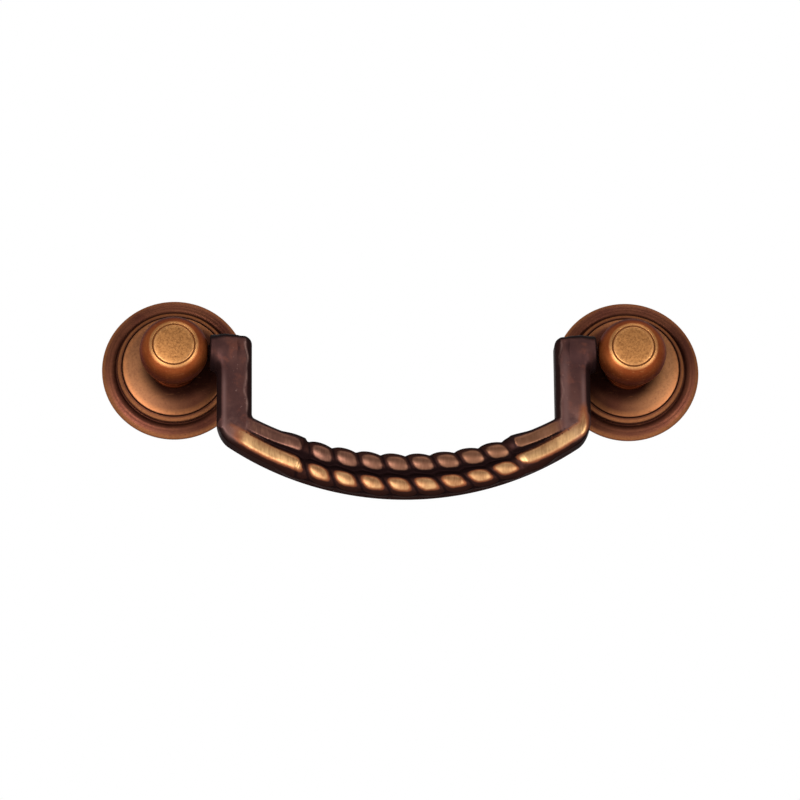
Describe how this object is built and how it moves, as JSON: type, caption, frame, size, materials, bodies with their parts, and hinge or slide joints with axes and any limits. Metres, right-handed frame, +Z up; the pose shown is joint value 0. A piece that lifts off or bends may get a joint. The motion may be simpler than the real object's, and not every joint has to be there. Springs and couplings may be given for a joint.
{
  "type": "bail pull",
  "caption": "Drooping bail handle carved as twisted rope, swinging on pins between globe-headed posts on round stepped rosettes, for a drawer or cabinet front.",
  "frame": {"origin": "on the mounting face, midway between the axes of the two tapped posts", "axes": "+X runs along the handle to the right as seen from the front, +Y goes into the drawer front, +Z is up; the bail hangs down and stands out towards -Y"},
  "size_m": [0.1266, 0.0185, 0.0471],
  "materials": {
    "bail_metal": "dark oil-rubbed patina, brushed golden on the high places",
    "post_metal": "antique copper plated, satin, dark in the recesses",
    "rosette_metal": "antique copper plated, satin, dark in the recesses"
  },
  "bodies": {
    "mount": {"rosette_left": "rosette_metal", "rosette_right": "rosette_metal", "post_left": "post_metal", "post_right": "post_metal"},
    "bail": {"bail": "bail_metal"}
  },
  "joints": [
    {"name": "bail_swing", "type": "hinge", "parent": "mount", "child": "bail", "pos_m": [0, -0.0124, 0], "axis": [-1, 0, 0], "range_deg": [-17.5, 197.5]}
  ]
}
